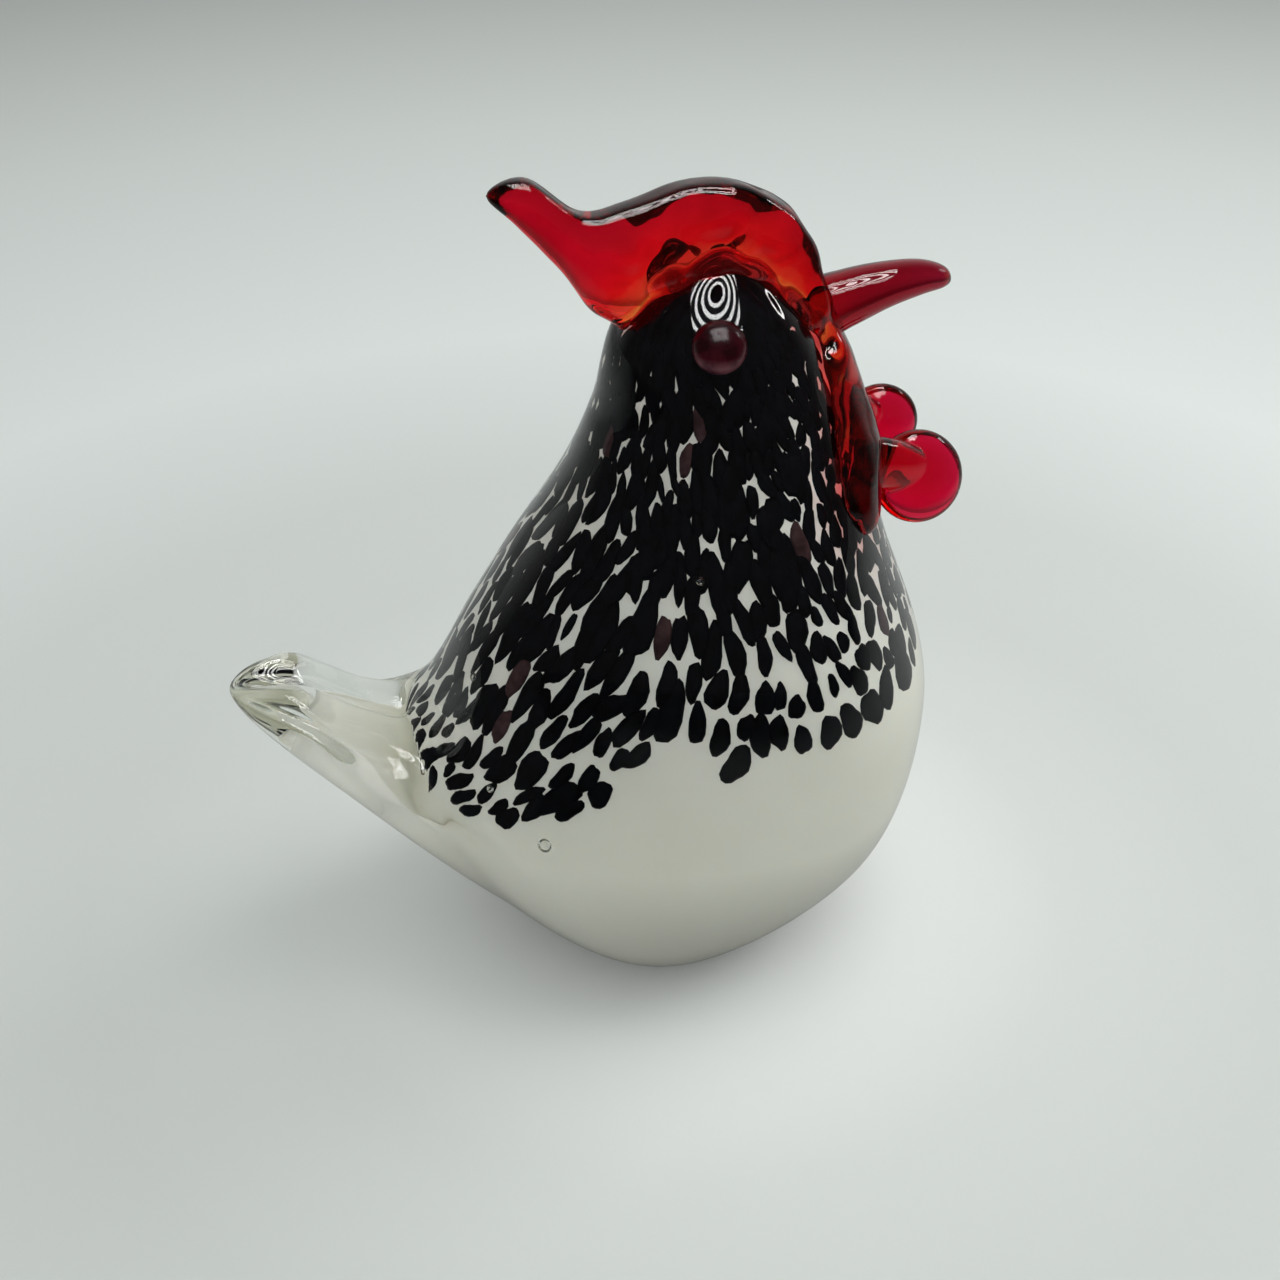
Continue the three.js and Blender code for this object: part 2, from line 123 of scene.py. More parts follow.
# Strip of the ribbon that lies on the face: body station, near and far edge in degrees, and height
STRIP = (
    (0.75, 186, 174, 1.0),
    (1.10, 200, 166, 2.2),
    (1.41, 206, 164, 2.7),
    (1.74, 214, 166, 2.9),
    (2.08, 221, 172, 3.1),
    (2.35, 226, 182, 3.2),
    (2.57, 229, 198, 2.7),
    (2.82, 226, 212, 1.6),
)
STRIP_SPANS = len(STRIP) - 1
STRIP_ROOT = 1.2
STRIP_END_POWER = 8

# Beak: root in hundredths of the body, under edge and top edge in beak lengths, width
BEAK_LENGTH = 22
BEAK_WIDTH = 7.2
BEAK_ROOT = (12.9, 90.7)
BEAK_STATIONS = (
    ((0, 0), (0, 0), 0),
    ((0.18, -0.19), (0.14, 0.18), 1),
    ((0.41, -0.09), (0.36, 0.24), 1),
    ((0.63, 0.01), (0.59, 0.27), 0.86),
    ((0.82, 0.07), (0.81, 0.27), 0.67),
    ((0.95, 0.1), (0.96, 0.22), 0.42),
    ((1, 0.14), (1, 0.14), 0),
)

# Wattles: centre, radius, half thickness and way faced, and the collar that joins each to the strip
WATTLES = {
    "wattle_right": ((30.4, -6.3, 70.9), 6.2, 2.5, (0, -0.91, 0.41)),
    "wattle_left": ((28.0, 3.4, 74.3), 5.2, 2.3, (0.1, 0.97, -0.22)),
}
COLLARS = {
    "wattle_right": ((20.5, -8.5, 76.0), (30.0, -6.4, 71.8), 3.6),
    "wattle_left": ((21.0, -1.0, 79.5), (26.6, 2.6, 75.6), 2.4),
}
COLLAR_FLATNESS = 0.72

# How finely pieces that melt together are made anew and smoothed, and what counts as a sharp edge
VOXEL = 0.28
SMOOTHING = 10
SMOOTHING_SHARE = 0.5
SHARP_ANGLE = math.radians(40)

# Folds that the tools left in the red glass near the body
FOLD_HEIGHTS = (84, 94)
FOLD_DEPTHS = (0.7, 1.7)
FOLD_SIZE = 3.8
FOLD_REACH = 4.0

# Eyes
EYE_STATION = 1.05
EYE_ANGLE = math.radians(82)
EYE_RADIUS = 3.3
EYE_HALF_THICKNESS = 2.4
EYE_PROUD = 0.5
EYE_HEIGHTS = (91, 97.3)

# How deep one glass reaches into the glass that it is fused to
FUSED = 0.35

# Black flakes: how many places are tried, how densely, and the spacing along and round the body,
# by degrees from the front and by station
FLAKE_SEED = 11
FLAKE_TRIES = 120000
FLAKE_CROWDING = 3
FLAKE_ALONG = (4.2, 5.2)
FLAKE_ROUND = (1.95, 1.75)
FLAKE_TURNS_LONG = (40, 120)
FLAKE_SCALE = ((1.2, 0.5), (2.4, 0.64), (3.6, 1))
FLAKE_NEIGHBOURS = 5
FLAKE_MOST_ROOM = 1.5
FLAKE_SIDES = 16
FLAKE_HEIGHT = 0.3
FLAKE_SINK = 0.12
SHOULDER_HEIGHT = 0.8
SHOULDER_REACH = 0.62

# How much of its room a flake fills by station, how its size, shape and lean vary, and the share
# of the flakes that run thin
FILL = ((0.8, 2.2), (1.3, 1.56), (2.0, 1.5), (2.8, 1.42), (3.7, 1.27), (4.3, 1.2), (5.2, 1.13), (6.0, 1.03))
SIZE_SPREAD = 0.17
SIZE_LIMITS = (0.6, 1.4)
SHAPE_LEAST = 0.85
SHAPE_SPREAD = 0.25
LEAN_SPREAD = math.radians(10)
OUTLINE_WAVES = ((2, 0.1), (3, 0.08), (5, 0.05))
THIN_SHARE = 0.045

# Field of the flakes: its ends, its edge as degrees from the front and station, the bare glass
# behind the strip, and the band along the edge where the flakes lie loose and rounder
FIELD_BEGINS = 0.12
FIELD_SPAN = 7
FIELD_ENDS = (0.02, 6.6)
FIELD_EDGE = (
    (0, 3.4),
    (21, 3.43),
    (54, 3.64),
    (75, 3.85),
    (86, 3.8),
    (96, 4.05),
    (108, 4.1),
    (116, 4.3),
    (117.5, 4.85),
    (124, 5.4),
    (138, 6.05),
    (150, 6.2),
    (158, 6.25),
    (166, 6.2),
    (172, 6.15),
    (180, 6.1),
)
FIELD_RAGGEDNESS = 0.1
BARE_DEGREES = 12
BARE_STATIONS = (1.1, 2.6)
LOOSE_BAND = (0, 0.9)
LOOSE_LONG = (0.72, 1)
LOOSE_WIDE = (1.02, 1)

# Edge of the mantle, past which the flakes are loose ones, as degrees from the front and station
MANTLE_EDGE = ((92, 3.3), (142, 5.8))

# Bubbles caught in the casing: station, degrees round, depth and radius
BUBBLES = (
    (5.69, 300, 1.6, 1.0),
    (3.04, 291, 1.4, 0.55),
    (5.27, 345, 1.5, 0.6),
    (5.72, 320, 1.5, 0.5),
)
BUBBLE_FLATNESS = 0.85

# Fineness of the surfaces: rings along and points round
CASING_RINGS = (220, 224)
CORE_RINGS = (170, 160)
CUTTER_RINGS = (110, 110)
RIBBON_RINGS = (190, 64)
STRIP_RINGS = (120, 64)
BEAK_RINGS = (90, 48)
DISC_RINGS = (50, 72)
COLLAR_RINGS = (40, 48)
EYE_RINGS = (44, 64)
BUBBLE_RINGS = (20, 28)

# Glass: how it bends light
GLASS_IOR = 1.5

# White core: the height in metres up to which shade is painted on its foot, and where its end thins into
# wisps
PAINTED_SHADE_HEIGHT = 0.026
CORE_FADES = (-0.055, -0.048)
WISP_LENGTH = 0.006

# Red glass: it turns from amber to red in millimetres above the body, sooner on the face, whose
# heights are in metres; and the beak's colours run between two places in metres
AMBER_TO_RED = (1.2, 9)
AMBER_UNEVENNESS = 2.4
FACE_HEIGHTS = (0.076, 0.088)
FACE_REDDER = 2.6
BEAK_COLOURED = (0.014, 0.0366)

# Floor: size in millimetres, and colour by the distance in metres from the body, with light and shade
# painted into it: painted light close round the base, a ring of painted shadow beyond it, a lighter band,
# and painted shade far off
FLOOR_REACH = 4000
FLOOR_SIDES = 96
FLOOR_PAINTED_LIGHT_AND_SHADE = (
    (0.02, (0.97, 0.98, 0.975)),
    (0.035, (0.93, 0.95, 0.94)),
    (0.06, (0.76, 0.79, 0.77)),
    (0.09, (0.7, 0.73, 0.71)),
    (0.13, (0.71, 0.74, 0.72)),
    (0.2, (0.84, 0.88, 0.86)),
    (0.36, (0.74, 0.77, 0.75)),
    (0.6, (0.46, 0.48, 0.465)),
)

# The glass mirrors a room that darkens towards DARK_SIDE, down to DARK_STRENGTH, and the floor has a
# painted dark reflection on that side, a darker colour that shows only in the glass
DARK_SIDE = (-0.19, -0.98, 0)
DARK_SPAN = (-1, -0.1)
DARK_STRENGTH = 0.06
DARK_FLOOR_SPAN = (-0.06, 0.2)
DARK_FLOOR_SHARES = (0.3, 1)
DARK_FLOOR = (0.02, 0.021, 0.022)

# Room: colour, and strength between two heights of the way looked, as light and as it is seen
UP = (0, 0, 1)
ROOM_COLOUR = (0.97, 1, 0.985)
ROOM_HEIGHTS = (0, 0.9)
ROOM_STRENGTHS = (0.74, 0.6)
SEEN_COLOUR = (0.96, 1, 0.97)
SEEN_HEIGHTS = (0, 0.35)
SEEN_STRENGTHS = (0.33, 0.5)

# Lamps: place, target, size and power
PANEL_TARGET = (0, -0.02, 0.05)
LAMPS = {
    "panel": ((0.11, 0, 0.33), PANEL_TARGET, 0.2, 0.22),
    "side": ((0.62, 0.2, 0.5), (0, 0, 0.03), 0.4, 1.25),
}

# Panels of small lamps in rings that show in the glass: place, size and number of sides
PANELS = {
    "panel_face": ((0, -0.06, 0.32), 0.2, 4),
    "low_panel_face": ((0.36, 0.06, 0.31), 0.1, 40),
}
RINGS_PER_METRE = 40
RING_EDGE = (0, 0.6)
RING_STRENGTHS = (0.1, 16)
PANEL_OPENING = (0.022, 0.026)

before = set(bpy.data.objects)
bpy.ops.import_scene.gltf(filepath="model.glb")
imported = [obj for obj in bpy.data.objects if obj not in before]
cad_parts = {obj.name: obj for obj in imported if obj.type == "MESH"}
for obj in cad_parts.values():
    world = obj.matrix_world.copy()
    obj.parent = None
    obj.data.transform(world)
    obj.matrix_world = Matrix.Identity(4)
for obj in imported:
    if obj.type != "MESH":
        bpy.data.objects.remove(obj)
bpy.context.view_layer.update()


def make_camera():
    back = Vector(
        (
            math.sin(AZIMUTH) * math.cos(ELEVATION),
            -math.cos(AZIMUTH) * math.cos(ELEVATION),
            math.sin(ELEVATION),
        )
    )
    right = Vector((math.cos(AZIMUTH), math.sin(AZIMUTH), 0))
    up = back.cross(right)
    data = bpy.data.cameras.new("camera")
    data.lens = LENS
    data.sensor_width = SENSOR
    data.clip_start = SEES_FROM
    data.clip_end = SEES_TO
    camera = bpy.data.objects.new("camera", data)
    bpy.context.scene.collection.objects.link(camera)
    turn = Matrix((right, up, back)).transposed().to_4x4()
    place = FOCUS + back * DISTANCE + right * SHIFT_RIGHT + up * SHIFT_UP
    camera.matrix_world = Matrix.Translation(place) @ turn
    bpy.context.scene.camera = camera


make_camera()


# Outlines


def smoothstep(x, low, high):
    t = np.clip((x - low) / (high - low), 0, 1)
    return t * t * (3 - 2 * t)


def by_table(rows, x):
    """The value at x of a line through rows of (x, value)."""
    places, values = zip(*rows)
    return np.interp(x, places, values)


def spline(p0, p1, p2, p3, w):
    """A point of the curve from p1 to p2, a share w of the way along."""
    m1 = (p2 - p0) / 2
    m2 = (p3 - p1) / 2
    a = (2 * w**3 - 3 * w**2 + 1) * p1 + (w**3 - 2 * w**2 + w) * m1
    return a + (3 * w**2 - 2 * w**3) * p2 + (w**3 - w**2) * m2


def on_loop(loop, s):
    """A point of the closed curve through the rows of loop, at s rows from the first."""
    first = np.floor(s).astype(int)
    rows = [loop[(first + k) % len(loop)] for k in (-1, 0, 1, 2)]
    return spline(*rows, (s - first)[..., None])


def on_line(values, s):
    """A value of the open curve through values, at s values from the first."""
    last = len(values) - 1
    first = np.clip(np.floor(s).astype(int), 0, last - 1)
    rows = [values[np.clip(first + k, 0, last)] for k in (-1, 0, 1, 2)]
    return spline(*rows, s - first)


def rails(first, second, half_widths):
    """The closed curve through two outlines of (x, z) that share their ends; its rows are (x, y, z)."""
    there = [(x, w, z) for (x, z), w in zip(first, half_widths)]
    back = [(x, -w, z) for (x, z), w in zip(second, half_widths)]
    return np.array(there + back[-2:0:-1], float)


def section(loop, u, angle, fullness):
    """A point of the oval section between the rails at station u."""
    a = on_loop(loop, u)
    b = on_loop(loop, len(loop) - u)
    half = (a - b) / 2
    half[..., 1] = 0
    point = (a + b) / 2 + half * np.cos(angle)[..., None]
    point[..., 1] = a[..., 1] * np.sin(angle) * (1 - fullness * np.cos(angle))
    return point


def on_body(place):
    """A place given in hundredths of the body's length and height."""
    return (place[0] * BODY_LENGTH / 100, place[1] * BODY_HEIGHT / 100)


def moved(place, step, size):
    return (place[0] + step[0] * size, place[1] + step[1] * size)


BODY = rails(
    [on_body(s[0]) for s in BODY_STATIONS],
    [on_body(s[1]) for s in BODY_STATIONS],
    [s[2] / 100 * BODY_WIDTH / 2 for s in BODY_STATIONS],
)
COMB_SEATS = [on_body(s[0]) for s in COMB_STATIONS]
COMB = rails(
    COMB_SEATS,
    [moved(seat, s[1], COMB_HEIGHT) for seat, s in zip(COMB_SEATS, COMB_STATIONS)],
    [s[2] * COMB_WIDTH / 2 for s in COMB_STATIONS],
)
COMB_DRIFT = np.array([s[3] / 100 * BODY_WIDTH for s in COMB_STATIONS])
COMB_SPANS = len(COMB_STATIONS) - 1
BEAK = rails(
    [moved(on_body(BEAK_ROOT), s[0], BEAK_LENGTH) for s in BEAK_STATIONS],
    [moved(on_body(BEAK_ROOT), s[1], BEAK_LENGTH) for s in BEAK_STATIONS],
    [s[2] * BEAK_WIDTH / 2 for s in BEAK_STATIONS],
)
BEAK_SPANS = len(BEAK_STATIONS) - 1


def unit(v):
    return v / np.maximum(np.linalg.norm(v, axis=-1, keepdims=True), 1e-12)


def body_lines(u):
    """Points of the body's back line and belly line."""
    return on_loop(BODY, u), on_loop(BODY, len(BODY) - u)


def body_chord(u):
    """The way from the back line to the belly line, without its part across."""
    back, belly = body_lines(u)
    chord = belly - back
    chord[..., 1] = 0
    return chord


def press_trough(point, u, angle):
    """Presses the trough along the top of the tail."""
    deep = smoothstep(u, TROUGH_BEGINS, TROUGH_IS_DEEP) * (1 - smoothstep(u, TROUGH_FADES, BODY_SPANS))
    across = np.exp(-(((point[..., 1] - TROUGH_ACROSS) / TROUGH_HALF_WIDTH) ** 2))
    push = TROUGH_DEPTH * deep * across * np.maximum(0, np.cos(angle)) ** 2
    return point + unit(body_chord(u)) * push[..., None]


def press_creases(point, u, angle):
    """Presses a crease under each ridge of the tail."""
    from_back = np.abs(np.arctan2(np.sin(angle), np.cos(angle)))
    line = np.radians(by_table(CREASE_LINE, u))
    crease = CREASE_DEPTH * np.exp(-(((from_back - line) / CREASE_HALF_WIDTH) ** 2))
    crease = crease * smoothstep(u, *CREASE_GROWS) * (1 - smoothstep(u, *CREASE_FADES))
    back, belly = body_lines(u)
    middle = (belly + back) / 2
    middle[..., 1] = 0
    return point + unit(middle - point) * crease[..., None]


def skin(u, angle, pressed=True):
    """A point on the outside of the body, with or without the forms pressed into its tail."""
    fullness = BELLY_FULLNESS * np.sin(np.pi * u / BODY_SPANS)
    point = section(BODY, u, angle, fullness)
    if pressed:
        point = press_creases(press_trough(point, u, angle), u, angle)
    point[..., 0] -= TAIL_SKEW * point[..., 1] * smoothstep(u, TAIL_BEGINS, TAIL_SET)
    return point


def skin_normal(u, angle, pressed=True):
    u = np.clip(u, END_MARGIN, BODY_SPANS - END_MARGIN)
    along = skin(u + NORMAL_STEP, angle, pressed) - skin(u - NORMAL_STEP, angle, pressed)
    round_ = skin(u, angle + NORMAL_STEP, pressed) - skin(u, angle - NORMAL_STEP, pressed)
    return unit(np.cross(round_, along))


def sunk(u, angle, depth, pressed=True):
    """A point that lies depth below the outside of the body."""
    depth = np.broadcast_to(depth, np.shape(u))
    return skin(u, angle, pressed) - skin_normal(u, angle, pressed) * depth[..., None]


def in_tail(u):
    return smoothstep(u, TAIL_COVER_BEGINS, TAIL_COVER_FULL)


def casing_depth(u, angle):
    """Thickness of the clear glass over the core: thin at the base and under the tail."""
    height = skin(u, angle, False)[..., 2]
    wall = CASING_AT_BASE + (CASING_THICKNESS - CASING_AT_BASE) * smoothstep(height, 0, BASE_FLARE_HEIGHT)
    below = np.maximum(0, -np.cos(angle))
    return wall * (1 - TAIL_BELLY_THINNED * below * in_tail(u))


def core(u, angle, extra=0):
    """A point on the white core, or extra below its surface; it narrows to a point in the tail."""
    point = sunk(u, angle, casing_depth(u, angle) + extra, False)
    chord = body_chord(u)
    on_top = np.maximum(0, np.cos(angle)) ** 2
    point += chord * (TAIL_COVER * in_tail(u) * on_top)[..., None]
    along = np.clip((u - CORE_TAPER_BEGINS) / (CORE_END - CORE_TAPER_BEGINS), 0, 1)
    shrink = np.sqrt(1 - along**2)[..., None]
    seat = on_loop(BODY, u) + chord * CORE_TAIL_SEAT
    seat[..., 1] = 0
    return seat + (point - seat) * shrink


def rounded_base(points, floor=0):
    """Points below the floor come up to it, with a soft edge."""
    above = points[..., 2] - floor
    points[..., 2] = floor + (above + np.sqrt(above**2 + BASE_ROUNDING**2)) / 2
    return points


# Meshes


def mesh_piece(name, points, faces, material, smooth=True):
    mesh = bpy.data.meshes.new(name)
    mesh.from_pydata((points * MM).tolist(), [], faces)
    mesh.polygons.foreach_set("use_smooth", [smooth] * len(mesh.polygons))
    if material:
        mesh.materials.append(material)
    piece = bpy.data.objects.new(name, mesh)
    bpy.context.scene.collection.objects.link(piece)
    return piece


def ring_faces(rows, around):
    """Quads of a skin of rings, closed by a point at each end."""
    last = 1 + rows * around
    faces = []
    for j in range(around):
        k = (j + 1) % around
        faces.append((0, 1 + k, 1 + j))
        start = 1 + (rows - 1) * around
        faces.append((last, start + j, start + k))
        for i in range(rows - 1):
            a = 1 + i * around
            faces.append((a + j, a + k, a + around + k, a + around + j))
    return faces


def ringed(name, point_at, rings, material=None):
    """A closed skin of rings: point_at takes shares from 0 to 1 along and angles round."""
    rows, around = rings
    along = (np.arange(rows) + 1) / (rows + 1)
    turn = np.arange(around) / around * 2 * np.pi
    u, angle = np.meshgrid(along, turn, indexing="ij")
    sides = point_at(u, angle).reshape(-1, 3)
    ends = point_at(np.array([0.0, 1.0]), np.array([0.0, 0.0]))
    points = np.vstack([ends[:1], sides, ends[1:]])
    piece = mesh_piece(name, points, ring_faces(rows, around), material)
    face_out(piece.data)
    return piece


def face_out(mesh):
    """Turns a closed mesh round if its faces point inwards."""
    mesh.calc_loop_triangles()
    count = len(mesh.vertices)
    flat = np.empty(count * 3)
    mesh.vertices.foreach_get("co", flat)
    points = flat.reshape(-1, 3)
    corners = np.empty(len(mesh.loop_triangles) * 3, int)
    mesh.loop_triangles.foreach_get("vertices", corners)
    a, b, c = (points[corners.reshape(-1, 3)[:, k]] for k in range(3))
    if np.einsum("ij,ij->i", a, np.cross(b, c)).sum() < 0:
        mesh.flip_normals()


def cut(piece, *cutters):
    """Cuts the cutters from a piece and keeps its smooth surface."""
    for cutter in cutters:
        modifier = piece.modifiers.new("cut", "BOOLEAN")
        modifier.operation = "DIFFERENCE"
        modifier.solver = "EXACT"
        modifier.object = cutter
    apply_modifiers(piece)
    if not piece.data.polygons:
        raise ValueError(piece.name + " was cut away")
    piece.data.set_sharp_from_angle(angle=SHARP_ANGLE)


def apply_modifiers(piece):
    graph = bpy.context.evaluated_depsgraph_get()
    made = bpy.data.meshes.new_from_object(piece.evaluated_get(graph))
    piece.modifiers.clear()
    old = piece.data
    piece.data = made
    piece.data.name = piece.name
    bpy.data.meshes.remove(old)
    piece.data.polygons.foreach_set("use_smooth", [True] * len(piece.data.polygons))


def comb_points(s, angle):
    u = s * COMB_SPANS
    point = section(COMB, u, angle, -COMB_TAPER)
    point[..., 1] *= np.maximum(np.abs(np.sin(angle)), 1e-4) ** (COMB_SQUARENESS - 1)
    point[..., 1] -= on_line(COMB_DRIFT, u)
    return point


def strip_points(s, angle):
    """A lens-shaped strip lying on the skin of the face."""
    table = np.array(STRIP, float)
    row = s * STRIP_SPANS
    station, near, far, height = (on_line(table[:, k], row) for k in range(4))
    end = np.sqrt(np.clip(1 - np.abs(2 * s - 1) ** STRIP_END_POWER, 0, 1))
    middle = np.radians(near + far) / 2
    half = np.radians(near - far) / 2 * end
    lift = np.where(np.sin(angle) > 0, height * end, STRIP_ROOT) * np.sin(angle)
    return sunk(station, middle + half * np.cos(angle), -lift, False)


def strip_middle(u):
    """Degrees round the body of the middle of the strip."""
    table = np.array(STRIP, float)
    return np.interp(u, table[:, 0], (table[:, 1] + table[:, 2]) / 2)


def lens(centre, axis, radius, half_thickness):
    """Points of a flattened bead whose short axis is axis."""
    across = np.array(Vector(axis).orthogonal().normalized())
    other = np.cross(axis, across)

    def point_at(s, angle):
        tilt = np.pi * s[..., None]
        ring = np.cos(angle)[..., None] * across + np.sin(angle)[..., None] * other
        return centre + radius * np.sin(tilt) * ring + half_thickness * np.cos(tilt) * axis

    return point_at


def limb(start, end, radius):
    """Points of an egg from one point to another, flattened across."""
    start, end = np.array(start), np.array(end)
    way = unit(end - start)
    up = unit(np.cross(way, (0, 1, 0)))
    side = np.cross(up, way)
    reach = np.linalg.norm(end - start) / 2 + radius

    def point_at(s, angle):
        tilt = np.pi * s[..., None]
        ring = np.cos(angle)[..., None] * up + COLLAR_FLATNESS * np.sin(angle)[..., None] * side
        return (start + end) / 2 + radius * np.sin(tilt) * ring - reach * np.cos(tilt) * way

    return point_at


def melt(name, parts, material):
    """Joins closed pieces into one smooth piece, as hot glass runs together."""
    points = []
    faces = []
    for part in parts:
        start = len(points)
        points += [tuple(v.co / MM) for v in part.data.vertices]
        faces += [tuple(start + v for v in f.vertices) for f in part.data.polygons]
        bpy.data.objects.remove(part)
    piece = mesh_piece(name, np.array(points), faces, material)
    remesh = piece.modifiers.new("melt", "REMESH")
    remesh.mode = "VOXEL"
    remesh.voxel_size = VOXEL * MM
    smooth = piece.modifiers.new("smooth", "SMOOTH")
    smooth.factor = SMOOTHING_SHARE
    smooth.iterations = SMOOTHING
    apply_modifiers(piece)
    face_out(piece.data)
    return piece


def surface(piece):
    """Points and normals of a piece, in millimetres."""
    points = np.empty(len(piece.data.vertices) * 3)
    normals = np.empty_like(points)
    piece.data.vertices.foreach_get("co", points)
    piece.data.vertex_normals.foreach_get("vector", normals)
    return points.reshape(-1, 3) / MM, normals.reshape(-1, 3)


def fold(piece, body):
    """Works uneven folds into a piece near the body, and keeps how far each point is from the body."""
    corners = [v.co / MM for v in body.data.vertices]
    tree = BVHTree.FromPolygons(corners, [f.vertices[:] for f in body.data.polygons])
    points, normals = surface(piece)
    above = np.zeros(len(points))
    lumps = np.zeros(len(points))
    for i, point in enumerate(points):
        point = Vector(point)
        hit, normal, *_ = tree.find_nearest(point)
        above[i] = max(0, (point - hit).dot(normal))
        lumps[i] = noise.noise(point / FOLD_SIZE)
    depth = np.interp(points[:, 2], FOLD_HEIGHTS, FOLD_DEPTHS)
    step = lumps * depth * np.exp(-above / FOLD_REACH)
    piece.data.vertices.foreach_set("co", ((points + normals * step[:, None]) * MM).ravel())
    piece.data.attributes.new("above_body", "FLOAT", "POINT").data.foreach_set("value", above)


def shrunk(name, piece, depth):
    """A copy of a piece whose surface is depth further in."""
    points, normals = surface(piece)
    mesh = piece.data.copy()
    mesh.vertices.foreach_set("co", ((points - normals * depth) * MM).ravel())
    copy = bpy.data.objects.new(name, mesh)
    bpy.context.scene.collection.objects.link(copy)
    return copy


# Materials


class Nodes:
    """The nodes of a new material, or of a new world."""

    def __init__(self, owner, output="OutputMaterial"):
        owner.use_nodes = True
        self.owner = owner
        self.tree = owner.node_tree
        self.tree.nodes.clear()
        self.output = self.add(output)

    def add(self, kind, **values):
        """A new node. Each value goes to the socket of that name, or else to the setting."""
        made = self.tree.nodes.new("ShaderNode" + kind)
        for key, value in values.items():
            name = key.replace("_", " ")
            if name in made.inputs:
                made.inputs[name].default_value = value
            else:
                setattr(made, key, value)
        return made

    def link(self, source, target):
        self.tree.links.new(source, target)

    def surfaced(self, shader):
        """Puts the shader on the surface, and gives the material or world."""
        self.link(shader.outputs[0], self.output.inputs["Surface"])
        return self.owner

    def place(self):
        return self.add("TexCoord").outputs["Object"]

    def axis(self, k):
        """Where a point lies along X, Y or Z, in metres."""
        split = self.add("SeparateXYZ")
        self.link(self.place(), split.inputs[0])
        return split.outputs[k]

    def distance(self):
        """How far a point is from the middle of its piece, in metres."""
        made = self.add("VectorMath", operation="LENGTH")
        self.link(self.place(), made.inputs[0])
        return made.outputs["Value"]

    def dot(self, source, direction):
        made = self.add("VectorMath", operation="DOT_PRODUCT")
        self.link(source, made.inputs[0])
        made.inputs[1].default_value = direction
        return made.outputs["Value"]

    def math(self, operation, *terms, **values):
        """The result for up to three terms, each of them a number or a socket."""
        made = self.add("Math", operation=operation, **values)
        for socket, term in zip(made.inputs, terms):
            if isinstance(term, (int, float)):
                socket.default_value = term
            else:
                self.link(term, socket)
        return made.outputs[0]

    def multiplied(self, first, second):
        """One colour times another."""
        made = self.add("Mix", data_type="RGBA", blend_type="MULTIPLY", Factor=1)
        self.link(first, made.inputs["A"])
        self.link(second, made.inputs["B"])
        return made.outputs["Result"]

    def mirrored(self):
        """1 for light that the glass mirrors, and 0 for all other light."""
        path = self.add("LightPath")
        glossy = path.outputs["Is Glossy Ray"]
        return self.math("SUBTRACT", glossy, path.outputs["Is Transmission Ray"], use_clamp=True)

    def noise(self, scale, detail, stretch=None):
        texture = self.add("TexNoise", Scale=scale, Detail=detail)
        source = self.place()
        if stretch:
            mapping = self.add("Mapping", Scale=stretch)
            self.link(source, mapping.inputs["Vector"])
            source = mapping.outputs[0]
        self.link(source, texture.inputs["Vector"])
        return texture.outputs[0]

    def ramp(self, source, *stops):
        """A colour ramp through (position, colour) stops."""
        made = self.add("ValToRGB")
        elements = made.color_ramp.elements
        while len(elements) < len(stops):
            elements.new(0.5)
        for element, (position, colour) in zip(elements, stops):
            element.position = position
            element.color = (*colour, 1)
        self.link(source, made.inputs[0])
        return made.outputs[0]

    def span(self, source, low, high, to_low=0, to_high=1, **values):
        """Maps low to to_low and high to to_high, and stops there."""
        made = self.add("MapRange", **values)
        for k, value in enumerate((low, high, to_low, to_high)):
            made.inputs[k + 1].default_value = value
        self.link(source, made.inputs[0])
        return made.outputs[0]

    def soft_span(self, source, low, high, to_low, to_high):
        return self.span(source, low, high, to_low, to_high, interpolation_type="SMOOTHSTEP")

    def uneven(self, shader, scale, detail, strength, height):
        """Makes the surface look uneven, by so many metres."""
        made = self.add("Bump", Strength=strength, Distance=height)
        self.link(self.noise(scale, detail), made.inputs["Height"])
        self.link(made.outputs[0], shader.inputs["Normal"])


def new_material(name):
    return Nodes(bpy.data.materials.new(name))


def glass(name, tint, through, absorbed=None, density=0, waves=0.12, wave_scale=70, bends=GLASS_IOR):
    """Fire polished glass. Lamps shine on through it, tinted by through."""
    n = new_material(name)
    shader = n.add("BsdfPrincipled", IOR=bends, Transmission_Weight=1, Roughness=0)
    if callable(tint):
        n.link(tint(n), shader.inputs["Base Color"])
    else:
        shader.inputs["Base Color"].default_value = (*tint, 1)
    n.uneven(shader, scale=wave_scale, detail=2, strength=waves, height=0.0006)
    clear = n.add("BsdfTransparent", Color=(*through, 1))
    mix = n.add("MixShader")
    n.link(n.add("LightPath").outputs["Is Shadow Ray"], mix.inputs[0])
    n.link(shader.outputs[0], mix.inputs[1])
    n.link(clear.outputs[0], mix.inputs[2])
    if absorbed:
        volume = n.add("VolumeAbsorption", Color=(*absorbed, 1), Density=density)
        n.link(volume.outputs[0], n.output.inputs["Volume"])
    return n.surfaced(mix)


